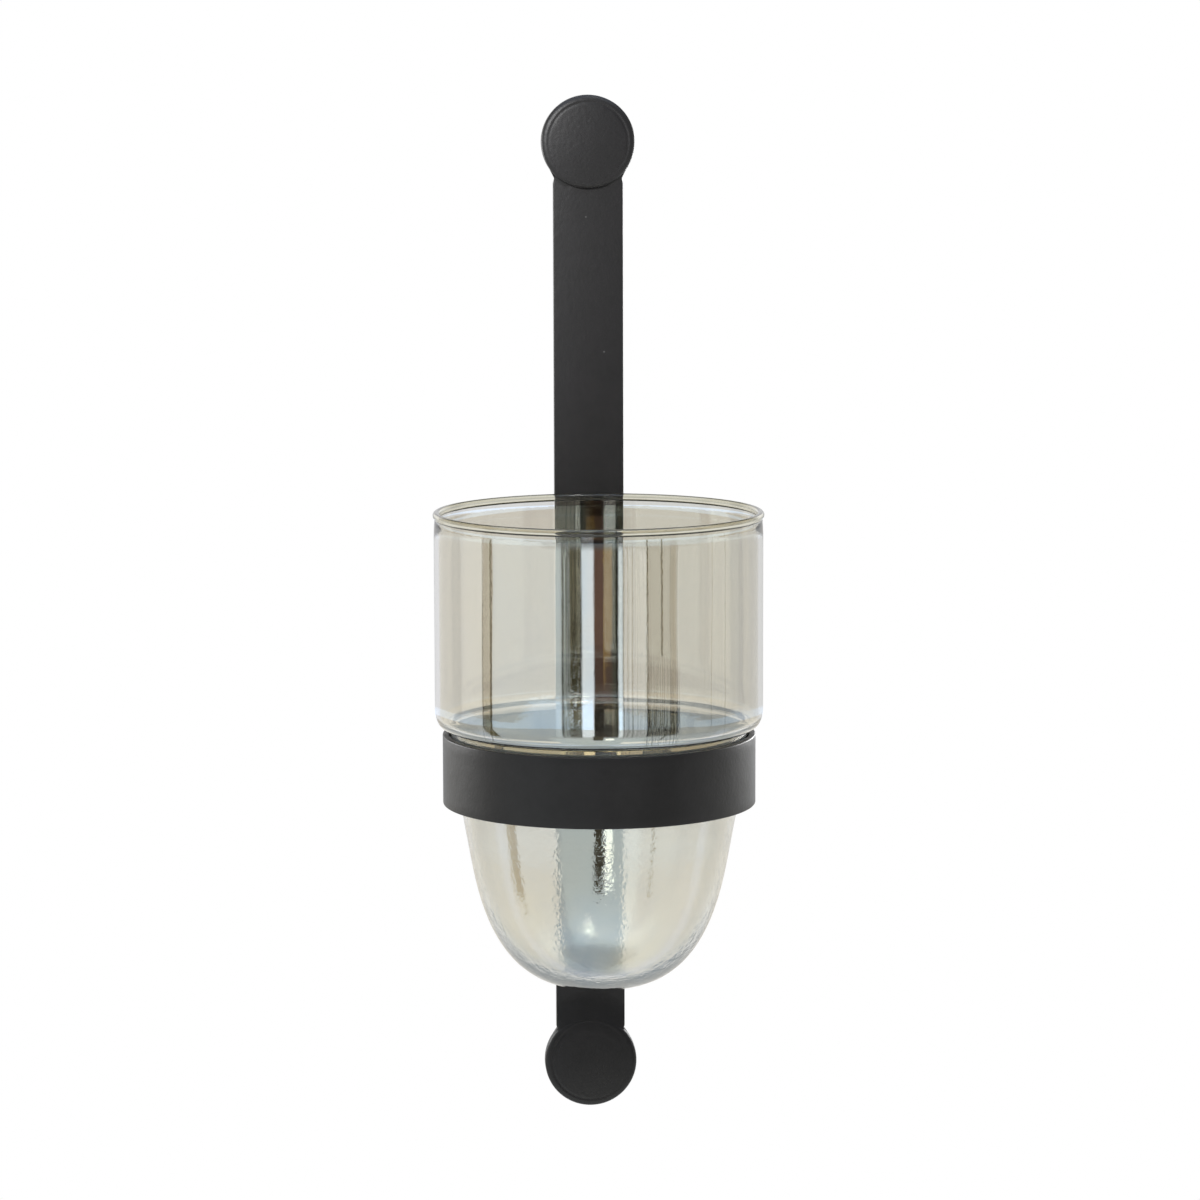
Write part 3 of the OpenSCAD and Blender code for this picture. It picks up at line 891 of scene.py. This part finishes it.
ring_section = soft_rectangle(ring_r - ring_t, ring_low[2], ring_r, ring_high[2], soft_edge)
ring_section = densify(np.vstack([ring_section, ring_section[:1]]), ring_spacing)[:-1]
ring = skin("rolled_ring", turn(ring_section, ring_columns, ring_centre), ring=True)
finish_piece(ring, "holder", "black_steel", [black_coat], "holder_ring")

# %% [markdown]
# Strip and spacer.
# The long strip is cut from flat steel, and its two ends narrow to tongues that slip into the caps. The
# spacer is an offcut of the same strip. Both are soft rectangles carried upwards, and the strip's width
# follows the cut: narrow, a short slope, full width, and the same again at the other end.

# %% Strip and spacer
cap_r = (cap_high[0] - cap_low[0]) / 2
tongue_step, upper_cut, lower_cut, slope_share, strip_spacing, spacer_rows = 0.35, 3.2, 1.4, 0.45, 4.0, 9
bar_hw, bar_t, tongue_hw = bar_high[0], -bar_low[1], bar_high[0] - tongue_step
cap_to_bar = math.sqrt(cap_r**2 - bar_hw**2)
upper_full, lower_full = -(cap_to_bar + upper_cut), lower_cap_low[2] + cap_r + cap_to_bar + lower_cut
upper_slope, lower_slope = upper_cut * slope_share, lower_cut * slope_share


def strip(name, heights, half_widths, back, front, edge):
    """Soft rectangles, one at each height, each of the half width there. The rows are the loops, so both ends
    are closed by a fan."""
    loops = []
    for height, half_width in zip(heights, half_widths):
        loop = soft_rectangle(-half_width, front, half_width, back, edge)
        loops.append(np.column_stack([loop, np.full(len(loop), height)]))
    return skin(name, np.array(loops))


bar_way = densify(np.array([
    [bar_high[2], tongue_hw], [upper_full + upper_slope, tongue_hw], [upper_full, bar_hw],
    [lower_full, bar_hw], [lower_full - lower_slope, tongue_hw], [bar_low[2], tongue_hw]]), strip_spacing)
bar = strip("flat_bar", bar_way[:, 0], bar_way[:, 1], 0.0, -bar_t, soft_edge)
finish_piece(bar, "holder", "black_steel", [black_coat], "wall_bar")
spacer_heights = np.linspace(spacer_low[2], spacer_high[2], spacer_rows)
spacer_widths = np.full(spacer_rows, bar_hw)
spacer = strip("spacer_block", spacer_heights, spacer_widths, spacer_high[1], spacer_low[1], soft_edge)
finish_piece(spacer, "holder", "black_steel", [black_coat], "ring_spacer")

# %% [markdown]
# Caps.
# Each cap is pressed from thin sheet: a slightly domed face, a tight bend and a short side wall, with a notch
# in the wall where the tongue enters. The whole closed profile, outside and inside, is carried round, and
# the wall's rim is lifted over the tongue's width, so the notch is part of the same skin.

# %% Caps: profile
sheet, bend, dome_h, rim_round, pole_share = 1.0, 0.4, 0.4, 0.2, 0.04
crown_h, bevel_w, bevel_lap, bevel_from = 0.75, 1.9, 0.1, 82
groove_r, groove_w, groove_d = 12.7, 0.45, 0.11
cap_depth = -cap_low[1] - dome_h
crown_r, wall_top = cap_r - bevel_w, cap_depth - sheet - bend


def crown_depth(radius):
    """Depth of the crown's outside: it falls with the square of the radius."""
    return crown_h * (1 - (radius / crown_r) ** 2) + cap_depth


def cap_profile(groove_depth):
    """Radius and depth of the closed sheet. The crown falls with the square of the radius, less a bell-shaped
    groove, then come a slanting bevel, the side, the rim, the inner side, the inner bend and the inner
    crown."""
    share = np.concatenate([np.linspace(pole_share, 0.88, 12), np.linspace(0.9, 1, 14)])
    groove = groove_depth * np.exp(-((crown_r * share - groove_r) / groove_w) ** 2)
    crown = np.column_stack([crown_r * share, crown_depth(crown_r * share) - groove])
    bevel = arc(crown_r - bevel_lap, wall_top, bevel_w + bevel_lap, cap_depth - wall_top, bevel_from, 0, 12)
    flat_r = cap_r - sheet - bend
    inner_share = np.linspace(pole_share, 1, 12)
    inner = np.column_stack([flat_r * inner_share, dome_h * (1 - inner_share**2) + cap_depth - sheet])
    return np.vstack([
        crown, bevel, [[cap_r, wall_top / 2]],
        arc(cap_r - rim_round, rim_round, rim_round, rim_round, 0, -90, 3),
        arc(cap_r - sheet + rim_round, rim_round, rim_round, rim_round, 270, 180, 3),
        [[cap_r - sheet, wall_top / 2]], arc(flat_r, wall_top, bend, bend, 0, 90, 4), inner[:-1][::-1]])


print("profile points of a cap:", len(cap_profile(groove_d)))

# %% Caps: skins
notch_gap, notch_run, upper_groove_to, lower_groove_to = 0.1, 0.35, 60, 180
notch_hw, notch_depth = tongue_hw + notch_gap, bar_t + notch_gap
lower_cap_z = lower_cap_low[2] + cap_r


def pressed_cap(name, centre, side, groove_to):
    """Turn the profile about y. Within the tongue's width on one side, the rim of the wall is lifted by the
    notch. The groove is deepest at the angle groove_to, and fades away from it by half of one plus the
    cosine."""
    plain, grooved = cap_profile(0.0), cap_profile(groove_d)
    half = math.asin(notch_hw / cap_r)
    middle = math.radians(90 * side)
    step = notch_run / cap_r
    angle = np.concatenate([
        middle + np.linspace(-half, half, 41), middle + half + np.linspace(0, step, 7)[1:],
        np.linspace(middle + half + step, middle + 2 * np.pi - half - step, 150)[1:],
        middle - half - step + np.linspace(0, step, 7)[1:-1]])
    gap = np.abs((angle - middle + np.pi) % (2 * np.pi) - np.pi)
    lift = notch_depth * np.clip((half + step - gap) / step, 0, 1)
    radius = plain[:, :1]
    depth = plain[:, 1:] + (grooved - plain)[:, 1:] * (1 + np.cos(angle - math.radians(groove_to))) / 2
    depth = np.where(depth <= wall_top, lift + depth * (1 - lift / wall_top), depth + 0 * lift)
    grid = np.stack([radius * np.cos(angle), -depth, radius * np.sin(angle)], axis=-1)
    return skin(name, grid + np.array(centre), sharp=50)


upper_cap = pressed_cap("upper_pressed_cap", (0, 0, 0), -1, upper_groove_to)
lower_cap = pressed_cap("lower_pressed_cap", (0, 0, lower_cap_z), 1, lower_groove_to)
finish_piece(upper_cap, "holder", "black_steel", [black_coat], "upper_cap")
finish_piece(lower_cap, "holder", "black_steel", [black_coat], "lower_cap")

# %% [markdown]
# Seams of the caps.
# The coat runs into the corner where each cap sits on the strip and fills it to a smooth hollow. At the lower
# cap it hides the seam wholly; at the upper one a fine line stays open in the middle. Bending the cap's own
# rim down would do it too, but then the cap would no longer be one pressed shape. So a thin hollow fillet is
# laid along the arc: its section, from the strip's face to the cap's bevel, is carried across the strip.

# %% Seams of the caps
seam_hw, bevel_touch_r, bevel_touch_d, crown_touch_r = bar_hw - 0.35, cap_r - 1.5, 4.66, 8.6
foot_upper_narrow, foot_upper_wide, foot_upper_from, foot_upper_run, foot_lower = 0.15, 2.4, 5.2, 3.2, 9.0
seam_sink, seam_root = 0.02, 0.3


def smooth_step(share):
    """Rise from zero to one: three times the square less twice the cube."""
    return share**2 * (3 - 2 * share)


def seam_fill(name, centre_z, side, foot, touch_r, touch_depth, hollow):
    """At each place across the strip, a line from the strip's face, a foot's width off the cap's edge, to the
    touch on the cap, closed by two points inside the steel. Its depth blends a smooth step, at hollow 0, with
    the cube of its way, at hollow 1."""
    across = np.linspace(-seam_hw, seam_hw, 61)[:, None]
    start_z = np.sqrt(cap_r**2 - across**2) + foot(across)
    end_z = np.sqrt(touch_r**2 - across**2 * min(1.0, (touch_r / seam_hw) ** 2))
    share = np.linspace(0, 1, 17)
    along = start_z + (end_z - start_z) * share
    rise = (1 - hollow) * smooth_step(share) + hollow * share**3
    face = bar_t - seam_sink
    depth = face + (touch_depth(np.hypot(across, end_z)) - face) * rise
    root = np.full_like(end_z, bar_t - seam_root)
    along, depth = np.hstack([along, end_z, start_z]), np.hstack([depth, root, root])
    grid = np.stack([across + 0 * along, -depth, centre_z + side * along], axis=-1)
    return skin(name, grid, sharp=50)


def upper_foot(across):
    """Narrow in the middle and wide further out: the width follows a smooth step of the distance."""
    step = np.clip((np.abs(across) - foot_upper_from) / foot_upper_run, 0, 1)
    return foot_upper_narrow + (foot_upper_wide - foot_upper_narrow) * smooth_step(step)


upper_seam = seam_fill("upper_seam_fill", 0.0, -1, upper_foot, bevel_touch_r,
                       lambda radius: bevel_touch_d + 0 * radius, 1.0)
lower_seam = seam_fill("lower_seam_fill", lower_cap_z, 1, lambda across: foot_lower + 0 * across,
                       crown_touch_r, lambda radius: crown_depth(radius) + seam_sink, 0.0)
for seam in (upper_seam, lower_seam):
    finish_piece(seam, "holder", "black_steel", [black_coat])

# %% [markdown]
# Small steel pieces.
# Two thin keyhole plates take the screw heads behind the caps, and short weld beads join caps, spacer and
# ring. They could be laid over with finer surfaces too, but hardly anything of them shows and their shapes
# are plain. So they stay as the CAD drew them, and get the same coat.

# %% Small steel pieces
small_pieces = (
    "upper_keyhole_plate", "lower_keyhole_plate", "upper_cap_welds", "lower_cap_welds", "ring_welds")
for name in small_pieces:
    node = frame["nodes"][name]
    node.data.materials.clear()
    node.data.materials.append(black_coat)
print("coated as they are:", len(small_pieces))

# %% [markdown]
# Lamps.
# The upper cap is lighter than the lower one, though both are alike, so the main lamp hung close to the top
# and to the left. A distant light would light both the same; a small area light near the top falls off on its
# way down. The ring's two sides are pale as well, so two broad lamps stand at its sides. The painted room
# already holds what the glass mirrors, so the lamps are linked to the steel pieces only.

# %% Lamps
lamps = [
    ("key", (-158, -273, 80), (0, 0, -40), (0.16, 0.16), 0.165, 56),
    ("side_left", (-520, 290, -90), (0, -55, -195), (0.45, 0.24), 2.2, 180),
    ("side_right", (430, 400, -90), (0, -55, -195), (0.45, 0.24), 3.9, 180)]
steel = bpy.data.collections.new("steel")
for piece in bpy.context.scene.objects:
    if piece.type == "MESH" and black_coat.name in piece.data.materials:
        steel.objects.link(piece)
for name, lamp_place, aim, (lamp_w, lamp_h), watts, opening in lamps:
    lamp = bpy.data.objects.new(name, bpy.data.lights.new(name, "AREA"))
    lamp.data.shape, lamp.data.size, lamp.data.size_y = "RECTANGLE", lamp_w, lamp_h
    lamp.data.energy, lamp.data.spread = watts, math.radians(opening)
    lamp.location = Vector(lamp_place) * mm
    lamp.rotation_euler = (Vector(aim) - Vector(lamp_place)).to_track_quat("-Z", "Y").to_euler()
    lamp.visible_camera = False
    lamp.light_linking.receiver_collection = steel
    bpy.context.scene.collection.objects.link(lamp)

# %% [markdown]
# Floor.
# A plain pale disc lies well below the holder, out of the camera's view, so that other views have a ground.
# It could be left to the painted room alone, but then the holder would float. It is kept out of mirrored and
# passing rays, because the room already holds the pale sheet that the glass mirrors.

# %% Floor
floor_z, floor_r, floor_t, floor_roughness = -600.0, 800.0, 5.0, 0.8
floor_dark, floor_light, mottle_scale = (0.82, 0.79, 0.75), (0.86, 0.83, 0.79), 6.0
floor_face = np.column_stack([np.array([0.02, 0.5, 1.0]) * floor_r, np.zeros(3)])
floor_section = np.vstack([floor_face, floor_face[::-1] - [0, floor_t]])
floor_mesh = skin("floor", turn(floor_section, 96, (0, 0, floor_z)))
floor_material, tree, shader = new_material("pale_floor")
mottle = noise(tree, add_node(tree, "ShaderNodeTexCoord").outputs["Object"], mottle_scale, 2.0)
tree.links.new(blend_colour(tree, mottle, floor_dark, floor_light), shader.inputs["Base Color"])
shader.inputs["Roughness"].default_value = floor_roughness
floor_mesh.data.materials.append(floor_material)
floor_mesh.visible_glossy = floor_mesh.visible_transmission = False
